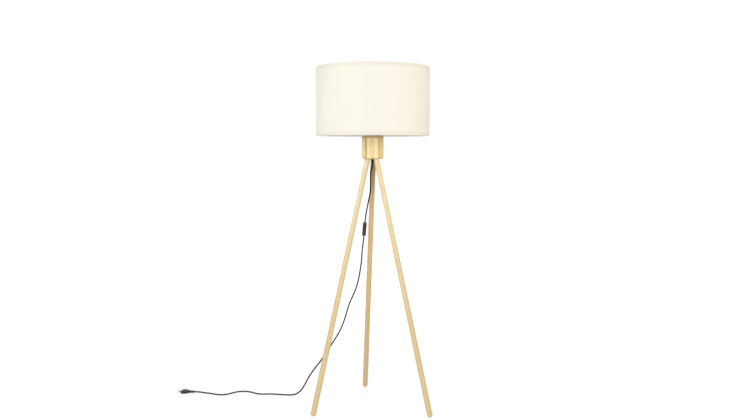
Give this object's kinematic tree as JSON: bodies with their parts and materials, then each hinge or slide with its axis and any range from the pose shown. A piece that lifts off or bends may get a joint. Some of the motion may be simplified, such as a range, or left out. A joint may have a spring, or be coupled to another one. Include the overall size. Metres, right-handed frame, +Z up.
{
  "type": "tripod floor lamp",
  "caption": "Tripod floor lamp with splayed round wooden legs, a turned hub, a linen drum shade on a screw lampholder, and a mains lead with an inline rocker switch and flat plug.",
  "frame": {"origin": "on the floor, under the hub's vertical axis", "axes": "+Z up along the hub's axis, -Y towards the viewer of the picture, +X to the viewer's right"},
  "size_m": [1.1875, 0.554, 1.514],
  "materials": {
    "leg_wood": "pale lacquered wood, satin",
    "hub_wood": "laminated strips, satin lacquer",
    "linen": "cream linen weave",
    "liner_film": "translucent white film",
    "wire_paint": "white powder coat",
    "steel": "zinc plated",
    "brass": "plain brass",
    "holder_plastic": "black moulded plastic",
    "block_plastic": "white insulating block",
    "bulb_white": "white moulded plastic",
    "bulb_opal": "opal diffuser",
    "bulb_metal": "rolled thread cap",
    "bulb_glass_black": "black insulator",
    "cord_black": "matt black sheath",
    "live_brown": "brown core insulation",
    "neutral_blue": "blue core insulation",
    "switch_black": "fine textured black plastic",
    "rocker_black": "smooth black plastic",
    "plug_black": "moulded black plastic"
  },
  "bodies": {
    "stand": {"leg_rear": "leg_wood", "leg_left": "leg_wood", "leg_right": "leg_wood", "hub": "hub_wood", "leg_bolts": "steel", "nipple_plate": "steel", "plate_screws": "steel", "nipple": "steel", "terminal_screws": "steel", "switch_screws": "steel", "rocker_axle": "steel", "leg_inserts": "brass", "holder_sleeve": "brass", "holder_contact": "brass", "holder_terminals": "brass", "switch_terminals": "brass", "plug_pins": "brass", "holder_cap": "holder_plastic", "holder_shell": "holder_plastic", "holder_block": "block_plastic", "cord_upper": "cord_black", "cord_lower": "cord_black", "hub_cord": "cord_black", "cord_sleeve": "cord_black", "live_wire": "live_brown", "neutral_wire": "neutral_blue", "switch_front_shell": "switch_black", "switch_rear_shell": "switch_black", "plug_body": "plug_black", "plug_pin_sleeves": "plug_black"},
    "shade": {"shade_fabric": "linen", "shade_liner": "liner_film", "shade_top_ring": "wire_paint", "shade_bottom_ring": "wire_paint", "shade_spider": "wire_paint"},
    "shade_ring": {"shade_ring": "holder_plastic"},
    "bulb_foot": {"bulb_contact": "brass", "bulb_insulator": "bulb_glass_black"},
    "bulb": {"bulb_cap": "bulb_metal", "bulb_body": "bulb_white", "bulb_globe": "bulb_opal"},
    "rocker": {"switch_rocker": "rocker_black", "switch_bridge": "brass"}
  },
  "joints": [
    {"name": "shade_turn", "type": "hinge", "parent": "stand", "child": "shade", "pos_m": [0, 0, 1.242], "axis": [0, 0, 1], "continuous": true},
    {"name": "shade_ring_turn", "type": "hinge", "parent": "stand", "child": "shade_ring", "pos_m": [0, 0, 1.248], "axis": [0, 0, 1], "range_deg": [0, 720]},
    {"name": "bulb_rise", "type": "slide", "parent": "stand", "child": "bulb_foot", "axis": [0, 0, 1], "range_m": [0, 0.0146]},
    {"name": "bulb_turn", "type": "hinge", "parent": "bulb_foot", "child": "bulb", "pos_m": [0, 0, 1.2535], "axis": [0, 0, 1], "range_deg": [0, 1440]},
    {"name": "rocker_tip", "type": "hinge", "parent": "stand", "child": "rocker", "pos_m": [-0.03724, 0.01102, 0.80059], "axis": [0.9966, 0, -0.0826], "range_deg": [-14, 0]}
  ],
  "couplings": [
    {"joint": "bulb_rise", "follows": "bulb_turn", "m_per_rad": 0.00057614}
  ]
}
